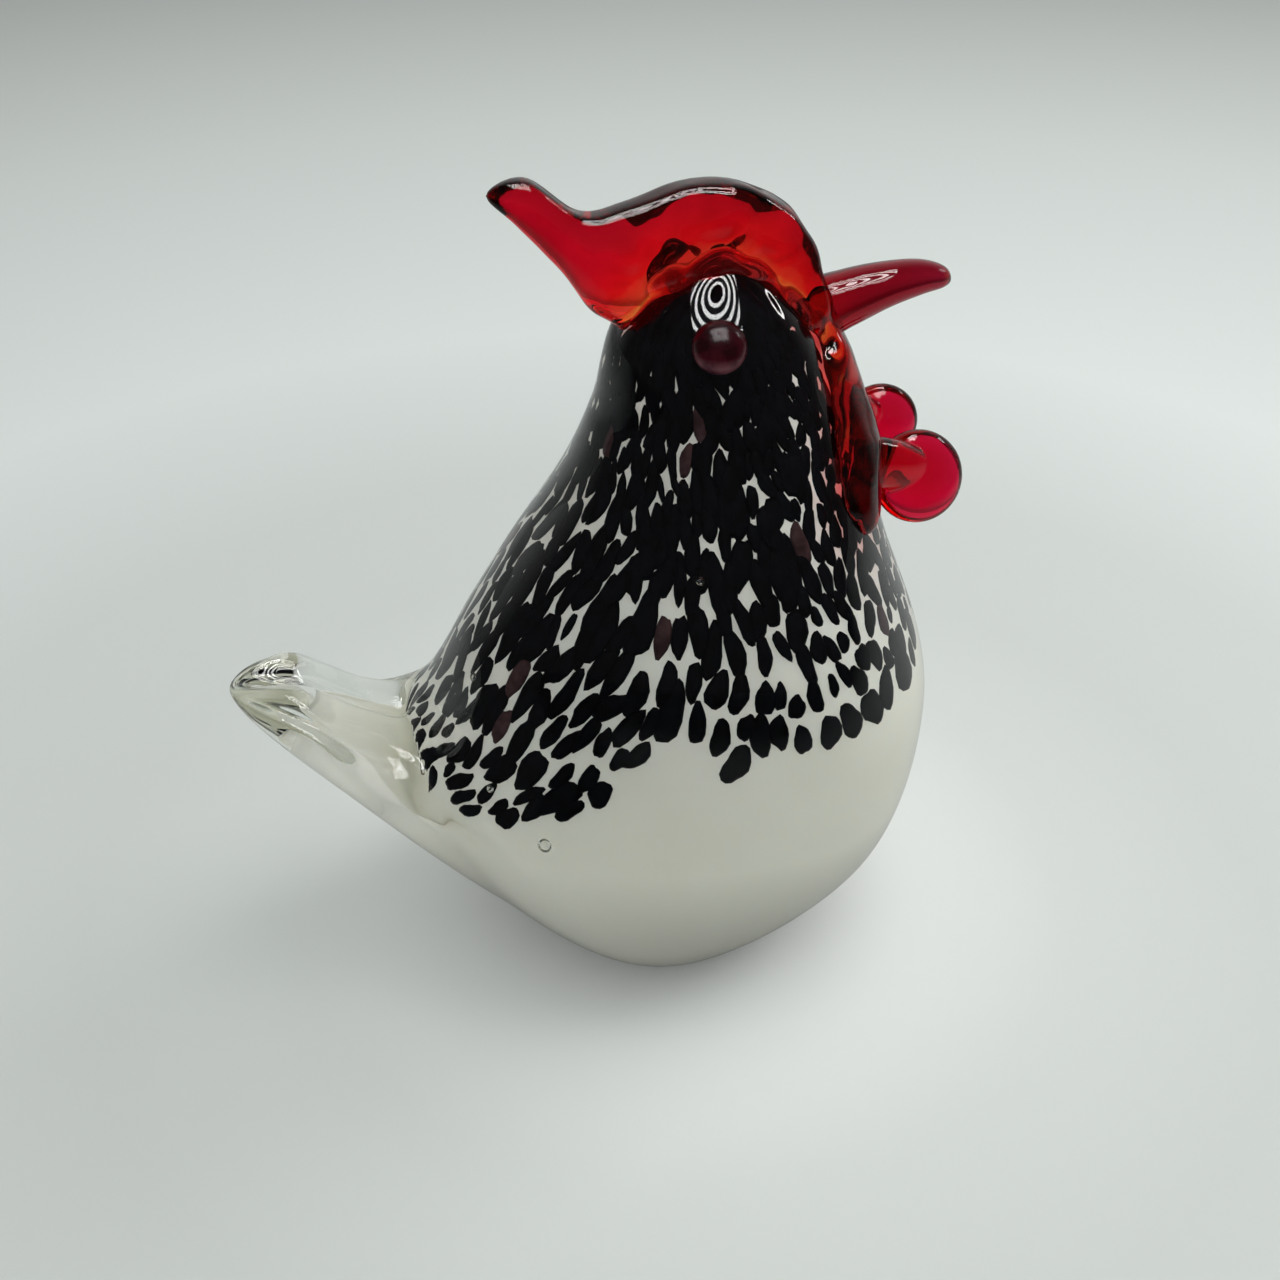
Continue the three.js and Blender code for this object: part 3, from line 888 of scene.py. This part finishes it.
def white_glass():
    """Cloudy white, with painted shade on its foot that greys it towards the floor; its end thins out into
    wisps.
    """
    n = new_material("opal white glass")
    shader = n.add(
        "BsdfPrincipled",
        Roughness=0.45,
        IOR=GLASS_IOR,
        Specular_IOR_Level=0.05,
        Subsurface_Weight=0.35,
        Subsurface_Radius=(1.0, 0.85, 0.7),
        Subsurface_Scale=0.003,
    )
    cloud = n.ramp(
        n.noise(scale=38, detail=4),
        (0.3, (0.88, 0.86, 0.78)),
        (0.55, (0.92, 0.9, 0.83)),
        (0.8, (0.94, 0.92, 0.86)),
    )
    # Painted shade: the core's foot darkens towards the floor, standing in for the shade under the belly
    painted_foot_shade = n.ramp(n.span(n.axis(2), 0, PAINTED_SHADE_HEIGHT), (0, (0.26, 0.26, 0.245)), (1, (1, 1, 1)))
    n.link(n.multiplied(cloud, painted_foot_shade), shader.inputs["Base Color"])
    n.uneven(shader, scale=220, detail=3, strength=0.15, height=0.0002)
    wisps = n.math("MULTIPLY_ADD", n.noise(scale=160, detail=4), WISP_LENGTH, n.axis(0))
    n.link(n.span(wisps, *CORE_FADES), shader.inputs["Alpha"])
    return n.surfaced(shader)


def ruby_glass():
    """Dark ruby, with a painted reflection of the floor as a paler mauve band low on the bead."""
    n = new_material("ruby glass")
    shader = n.add(
        "BsdfPrincipled",
        IOR=GLASS_IOR,
        Roughness=0.22,
        Specular_IOR_Level=0.25,
        Coat_Weight=0.06,
        Coat_Roughness=0.04,
    )
    # Painted reflection: the paler mauve band low on the bead stands in for the floor mirrored there; above
    # it the ruby runs dark
    glow = n.ramp(
        n.span(n.axis(2), EYE_HEIGHTS[0] * MM, EYE_HEIGHTS[1] * MM),
        (0.0, (0.05, 0.012, 0.02)),
        (0.25, (0.13, 0.045, 0.055)),
        (0.45, (0.05, 0.003, 0.008)),
        (0.8, (0.028, 0.001, 0.004)),
        (1.0, (0.015, 0.001, 0.002)),
    )
    cloud = n.ramp(n.noise(scale=420, detail=3), (0.4, (0.45, 0.3, 0.4)), (0.62, (1, 1, 1)))
    n.link(n.multiplied(glow, cloud), shader.inputs["Base Color"])
    n.uneven(shader, scale=240, detail=2, strength=0.15, height=0.0003)
    return n.surfaced(shader)


def black_glass(name, dark, light):
    n = new_material(name)
    shader = n.add("BsdfPrincipled", IOR=GLASS_IOR, Specular_IOR_Level=0.02)
    n.link(n.ramp(n.noise(scale=420, detail=4), (0.35, dark), (0.75, light)), shader.inputs["Base Color"])
    roughness = n.span(n.noise(scale=300, detail=2), 0.3, 0.7, to_low=0.3, to_high=0.5)
    n.link(roughness, shader.inputs["Roughness"])
    n.uneven(shader, scale=500, detail=2, strength=0.1, height=0.0001)
    return n.surfaced(shader)


def clear_tint(n):
    """Colourless glass with faint streaks."""
    streaks = n.noise(scale=60, detail=3, stretch=(1, 1, 0.3))
    return n.ramp(streaks, (0.4, (1, 1, 1)), (0.62, (0.975, 0.985, 0.97)))


def comb_tint(n):
    """Red glass that turns to amber where it runs thin on to the head."""
    above = n.add("Attribute", attribute_name="above_body").outputs["Fac"]
    on_face = n.math("ADD", above, n.span(n.axis(2), *FACE_HEIGHTS, FACE_REDDER, 0))
    height = n.math("MULTIPLY_ADD", n.noise(scale=300, detail=3), AMBER_UNEVENNESS, on_face)
    depth = n.ramp(
        n.span(height, *AMBER_TO_RED),
        (0.0, (1.0, 0.55, 0.12)),
        (0.14, (1.0, 0.42, 0.07)),
        (0.26, (0.95, 0.03, 0.02)),
        (0.5, (0.87, 0.008, 0.016)),
        (1.0, (0.72, 0.006, 0.03)),
    )
    patches = n.ramp(n.noise(scale=75, detail=2), (0.45, (0.8, 0.6, 0.8)), (0.56, (1, 1, 1)))
    return n.multiplied(depth, patches)


def beak_tint(n):
    """Crimson that pales to amber at the tip."""
    return n.ramp(
        n.span(n.axis(0), *BEAK_COLOURED),
        (0.0, (0.6, 0.02, 0.05)),
        (0.4, (0.36, 0.015, 0.05)),
        (0.84, (0.34, 0.02, 0.06)),
        (0.93, (0.7, 0.26, 0.12)),
        (1.0, (0.9, 0.62, 0.3)),
    )


CLEAR = glass(
    "clear glass",
    clear_tint,
    through=(0.96, 0.98, 0.965),
    absorbed=(0.78, 0.83, 0.74),
    density=20,
)
RED = glass(
    "red glass",
    comb_tint,
    through=(0.9, 0.2, 0.2),
    absorbed=(0.93, 0.28, 0.26),
    density=130,
    waves=0.25,
    wave_scale=110,
)
BEAK_RED = glass(
    "beak glass",
    beak_tint,
    through=(0.9, 0.2, 0.25),
    absorbed=(0.9, 0.35, 0.5),
    density=500,
    waves=0.2,
    wave_scale=110,
)
CRIMSON = glass(
    "crimson glass",
    tint=(0.95, 0.1, 0.24),
    through=(0.9, 0.2, 0.25),
    absorbed=(0.92, 0.25, 0.55),
    density=1100,
    waves=0.2,
    wave_scale=110,
)
RUBY = ruby_glass()
BUBBLE = glass("bubble", (1, 1, 1), (1, 1, 1), waves=0.05, wave_scale=300, bends=1 / GLASS_IOR)
WHITE = white_glass()
BLACK = black_glass("black glass", (0.001, 0.001, 0.0016), (0.003, 0.0033, 0.006))
BROWN = black_glass("thin black glass", (0.03, 0.014, 0.016), (0.085, 0.045, 0.05))


# Pieces


def add(piece, slot, *nodes):
    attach(piece, "root")
    if nodes:
        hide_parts(*nodes)


def make_body():
    casing = ringed(
        "clear_casing_glass",
        lambda s, a: rounded_base(skin(s * BODY_SPANS, a)),
        CASING_RINGS,
        CLEAR,
    )
    add(casing, "clear_glass", "clear_casing")
    white = ringed(
        "white_core_glass",
        lambda s, a: rounded_base(core(s * CORE_END, a), CORE_FLOOR),
        CORE_RINGS,
        WHITE,
    )
    add(white, "white_glass", "white_core")


def make_comb(body_inside):
    """The ribbon, and the comb a little smaller, which later glass is cut by."""
    ribbon = ringed("ribbon", comb_points, RIBBON_RINGS)
    strip = ringed("strip", strip_points, STRIP_RINGS)
    comb = melt("comb_ribbon", [ribbon, strip], RED)
    fold(comb, body_inside)
    comb_inside = shrunk("comb_inside", comb, FUSED)
    cut(comb, body_inside)
    add(comb, "red_glass", "comb")
    return comb_inside


def make_beak(*cutters):
    beak = ringed("beak_glass", lambda s, a: section(BEAK, s * BEAK_SPANS, a, 0), BEAK_RINGS, BEAK_RED)
    cut(beak, *cutters)
    add(beak, "red_glass", "beak")


def make_wattles(*cutters):
    for name, (centre, radius, half_thickness, axis) in WATTLES.items():
        disc_points = lens(np.array(centre), unit(np.array(axis)), radius, half_thickness)
        disc = ringed("disc", disc_points, DISC_RINGS)
        collar = ringed("collar", limb(*COLLARS[name]), COLLAR_RINGS)
        wattle = melt(name + "_glass", [disc, collar], CRIMSON)
        cut(wattle, *cutters)
        add(wattle, "red_glass", name)


def make_eyes(body_inside):
    station = np.array([EYE_STATION])
    for name, side in (("eye_right", -1), ("eye_left", 1)):
        angle = np.array([side * EYE_ANGLE])
        normal = skin_normal(station, angle, False)[0]
        centre = skin(station, angle, False)[0] + normal * EYE_PROUD
        bead_points = lens(centre, normal, EYE_RADIUS, EYE_HALF_THICKNESS)
        bead = ringed(name + "_bead", bead_points, EYE_RINGS, RUBY)
        cut(bead, body_inside)
        add(bead, "ruby_glass", name)


def make_red_glass():
    """The comb, beak, wattles and eyes, each cut to fit the glass that it is laid on."""
    body_inside = ringed("body_inside", lambda s, a: sunk(s * BODY_SPANS, a, FUSED), CUTTER_RINGS)
    comb_inside = make_comb(body_inside)
    make_beak(body_inside, comb_inside)
    make_wattles(body_inside, comb_inside)
    make_eyes(body_inside)
    for cutter in (body_inside, comb_inside):
        bpy.data.objects.remove(cutter)


def from_front(angle):
    """Degrees round the body from the middle of the breast."""
    return np.degrees(np.abs(np.arctan2(np.sin(angle), -np.cos(angle))))


def stretch(u, angle):
    """Millimetres of core for one station along, and for one radian round."""
    along = core(u + CORE_STEP, angle) - core(u - CORE_STEP, angle)
    round_ = core(u, angle + CORE_STEP) - core(u, angle - CORE_STEP)
    return [np.linalg.norm(way, axis=-1) / (2 * CORE_STEP) for way in (along, round_)]


def flake_field(rng):
    """Chance places on the core within the flakes' field, about as close together everywhere."""
    u = FIELD_BEGINS + FIELD_SPAN * rng.rand(FLAKE_TRIES)
    angle = 2 * np.pi * rng.rand(FLAKE_TRIES)
    along, round_ = stretch(u, angle)
    area = along * round_
    edge = by_table(FIELD_EDGE, from_front(angle))
    ragged = FIELD_RAGGEDNESS * rng.randn(FLAKE_TRIES)
    behind_strip = np.abs(np.degrees(angle) - strip_middle(u)) < BARE_DEGREES
    behind_strip &= (u > BARE_STATIONS[0]) & (u < BARE_STATIONS[1])
    drawn = rng.rand(FLAKE_TRIES) < area / area.max() * FLAKE_CROWDING
    keep = (u < edge + ragged) & drawn & ~behind_strip
    return [values[keep] for values in (u, angle, along, round_, edge)]


def flake_places(rng):
    """Places and sizes of the flakes: those of the field that have room round them."""
    u, angle, along, round_, edge = flake_field(rng)
    spots = core(u, angle)
    way = unit(core(u + CORE_STEP, angle) - core(u - CORE_STEP, angle))
    scale = by_table(FLAKE_SCALE, u)
    long = scale * np.interp(from_front(angle), FLAKE_TURNS_LONG, FLAKE_ALONG)
    wide = scale * np.interp(from_front(angle), FLAKE_TURNS_LONG, FLAKE_ROUND)

    def spacing(others, i):
        """Distances of others from place i, in flake spacings along and across its way."""
        apart = spots[others] - spots[i]
        lengthwise = apart @ way[i]
        sideways = np.maximum(0, (apart * apart).sum(1) - lengthwise**2)
        return np.sqrt((lengthwise / long[i]) ** 2 + sideways / wide[i] ** 2)

    kept = []
    for i in range(len(u)):
        if not kept or spacing(kept, i).min() >= 1:
            kept.append(i)
    room = [np.sort(spacing(kept, i))[1 : 1 + FLAKE_NEIGHBOURS].mean() for i in kept]
    room = np.minimum(room, FLAKE_MOST_ROOM)
    inside = (edge - u)[kept]
    long = long[kept] * room * np.interp(inside, LOOSE_BAND, LOOSE_LONG)
    wide = wide[kept] * room * np.interp(inside, LOOSE_BAND, LOOSE_WIDE)
    return u[kept], angle[kept], along[kept], round_[kept], long, wide


def flake_faces(count):
    """Faces of count flakes: a domed top of two rings and a flat underside."""
    sides = FLAKE_SIDES
    one = []
    for k in range(sides):
        m = (k + 1) % sides
        one.append((0, 1 + k, 1 + m))
        one.append((1 + k, 1 + sides + k, 1 + sides + m, 1 + m))
        one.append((1 + 2 * sides, 1 + sides + m, 1 + sides + k))
    size = 2 + 2 * sides
    return [tuple(v + size * i for v in face) for i in range(count) for face in one]


def flake_points(rng, u, angle, along, round_, long, wide):
    """Points of uneven flakes, each bent to the core at its place."""
    count = len(u)
    turn = np.arange(FLAKE_SIDES) / FLAKE_SIDES * 2 * np.pi
    outline = np.ones((count, FLAKE_SIDES))
    for waves, depth in OUTLINE_WAVES:
        outline += depth * np.sin(waves * turn + rng.rand(count, 1) * 2 * np.pi)
    fill = by_table(FILL, u)
    size = fill / 2 * (1 + SIZE_SPREAD * rng.randn(count)).clip(*SIZE_LIMITS)
    long = size * long * (SHAPE_LEAST + SHAPE_SPREAD * rng.rand(count))
    wide = size * wide * (SHAPE_LEAST + SHAPE_SPREAD * rng.rand(count))
    lean = (LEAN_SPREAD * rng.randn(count))[:, None]
    x = long[:, None] * outline * np.cos(turn)
    y = wide[:, None] * outline * np.sin(turn)
    step_along = (x * np.cos(lean) - y * np.sin(lean)) / along[:, None]
    step_round = (x * np.sin(lean) + y * np.cos(lean)) / round_[:, None]

    def ring(reach, depth):
        """Points a share reach of the way out to the rim, at a depth below the core's surface."""
        stations = np.clip(u[:, None] + reach * step_along, *FIELD_ENDS)
        return core(stations, angle[:, None] + reach * step_round, depth)

    top = core(u, angle, -FLAKE_HEIGHT)[:, None]
    shoulder = ring(SHOULDER_REACH, -SHOULDER_HEIGHT * FLAKE_HEIGHT)
    underside = core(u, angle, 2 * FLAKE_SINK)[:, None]
    return np.concatenate([top, shoulder, ring(1, FLAKE_SINK), underside], axis=1)


def make_flakes():
    rng = np.random.RandomState(FLAKE_SEED)
    places = flake_places(rng)
    points = flake_points(rng, *places)
    u, angle = places[:2]
    mantle_edge = by_table(MANTLE_EDGE, from_front(angle))
    thin = rng.rand(len(u)) < THIN_SHARE
    loose = (u > mantle_edge) & ~thin
    groups = (
        ("frit_mantle_flakes", ~loose & ~thin, BLACK, ["frit_mantle"]),
        ("frit_loose_flakes", loose, BLACK, [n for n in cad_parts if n.startswith("frit_flake")]),
        ("frit_thin_flakes", thin, BROWN, []),
    )
    for name, which, material, nodes in groups:
        flakes = points[which]
        piece = mesh_piece(name, flakes.reshape(-1, 3), flake_faces(len(flakes)), material)
        add(piece, "black_glass", *nodes)


def make_bubbles():
    for k, (station, degrees, depth, radius) in enumerate(BUBBLES):
        u = np.array([station])
        angle = np.array([math.radians(degrees)])
        centre = sunk(u, angle, depth)[0]
        bubble_points = lens(centre, skin_normal(u, angle)[0], radius, BUBBLE_FLATNESS * radius)
        bubble = ringed("bubble_%d" % (k + 1), bubble_points, BUBBLE_RINGS, BUBBLE)
        add(bubble, "clear_glass")


make_body()
make_red_glass()
make_flakes()
make_bubbles()


# Floor, lamps and surroundings


def floor_material():
    """Pale, with light and shade painted in rings round the body, and a painted dark reflection: a darker
    part that shows only in the glass.
    """
    n = new_material("pale floor")
    shader = n.add("BsdfPrincipled", Roughness=0.55, Specular_IOR_Level=0.25)
    # Painted light and shade: the floor's colour by the distance from the body
    colour = n.ramp(n.span(n.distance(), 0, 1), *FLOOR_PAINTED_LIGHT_AND_SHADE)
    shares = n.span(n.dot(n.place(), DARK_SIDE), *DARK_FLOOR_SPAN, *DARK_FLOOR_SHARES)
    # Painted reflection: towards DARK_SIDE the floor turns dark, but only in rays that the glass mirrors
    painted_dark_reflection = n.add("Mix", data_type="RGBA")
    painted_dark_reflection.inputs["B"].default_value = (*DARK_FLOOR, 1)
    n.link(n.math("MULTIPLY", n.mirrored(), shares), painted_dark_reflection.inputs["Factor"])
    n.link(colour, painted_dark_reflection.inputs["A"])
    n.link(painted_dark_reflection.outputs["Result"], shader.inputs["Base Color"])
    n.uneven(shader, scale=60, detail=4, strength=0.05, height=0.0005)
    return n.surfaced(shader)


def make_floor():
    turn = np.arange(FLOOR_SIDES) / FLOOR_SIDES * 2 * np.pi
    rim = np.stack([FLOOR_REACH * np.cos(turn), FLOOR_REACH * np.sin(turn), 0 * turn], axis=-1)
    floor = mesh_piece("floor", rim, [tuple(range(FLOOR_SIDES))], floor_material(), False)


def aimed(place, target):
    return (Vector(target) - Vector(place)).to_track_quat("-Z", "Y").to_euler()


def make_lamp(name):
    """A square lamp that lights the scene and isn't mirrored in it."""
    place, target, size, power = LAMPS[name]
    data = bpy.data.lights.new(name, "AREA")
    data.shape = "RECTANGLE"
    data.size = size
    data.size_y = size
    data.energy = power
    lamp = bpy.data.objects.new(name, data)
    lamp.location = place
    lamp.rotation_euler = aimed(place, target)
    lamp.visible_glossy = False
    bpy.context.scene.collection.objects.link(lamp)


def panel_material():
    """Rings of small lamps round a dark opening in the middle."""
    n = new_material("lamp panel")
    from_middle = n.distance()
    wave = n.math("SINE", n.math("MULTIPLY", from_middle, 2 * math.pi * RINGS_PER_METRE))
    rings = n.span(wave, *RING_EDGE, *RING_STRENGTHS)
    glow = n.add("Emission")
    n.link(n.math("MULTIPLY", rings, n.span(from_middle, *PANEL_OPENING)), glow.inputs["Strength"])
    return n.surfaced(glow)


def make_panels():
    """Lamps that are only seen mirrored in the glass."""
    material = panel_material()
    for name, (place, size, sides) in PANELS.items():
        turn = (np.arange(sides) + 0.5) / sides * 2 * np.pi
        reach = size / 2 / np.cos(np.pi / sides) / MM
        corners = np.stack([reach * np.cos(turn), -reach * np.sin(turn), 0 * turn], axis=-1)
        face = mesh_piece(name, corners, [tuple(range(sides))], material, False)
        face.location = place
        face.rotation_euler = aimed(place, PANEL_TARGET)
        face.visible_camera = False
        face.visible_diffuse = False
        face.visible_transmission = False
        face.visible_shadow = False


def make_world():
    """A pale room, dark on one side where the glass mirrors it."""
    world = bpy.data.worlds.new("studio")
    bpy.context.scene.world = world
    n = Nodes(world, "OutputWorld")
    way = n.add("TexCoord").outputs["Generated"]
    upward = n.dot(way, UP)
    dim = n.add("Mix")
    dim.inputs["A"].default_value = 1
    n.link(n.mirrored(), dim.inputs["Factor"])
    n.link(n.soft_span(n.dot(way, DARK_SIDE), *DARK_SPAN, 1, DARK_STRENGTH), dim.inputs["B"])
    strength = n.soft_span(upward, *ROOM_HEIGHTS, *ROOM_STRENGTHS)
    around = n.add("Background", Color=(*ROOM_COLOUR, 1))
    n.link(n.math("MULTIPLY", dim.outputs["Result"], strength), around.inputs["Strength"])
    seen = n.add("Background", Color=(*SEEN_COLOUR, 1))
    n.link(n.soft_span(upward, *SEEN_HEIGHTS, *SEEN_STRENGTHS), seen.inputs["Strength"])
    mix = n.add("MixShader")
    n.link(n.add("LightPath").outputs["Is Camera Ray"], mix.inputs[0])
    n.link(around.outputs[0], mix.inputs[1])
    n.link(seen.outputs[0], mix.inputs[2])
    n.surfaced(mix)


make_floor()
make_lamp("panel")
make_panels()
make_lamp("side")
make_world()

bpy.context.scene.view_settings.view_transform = "Standard"
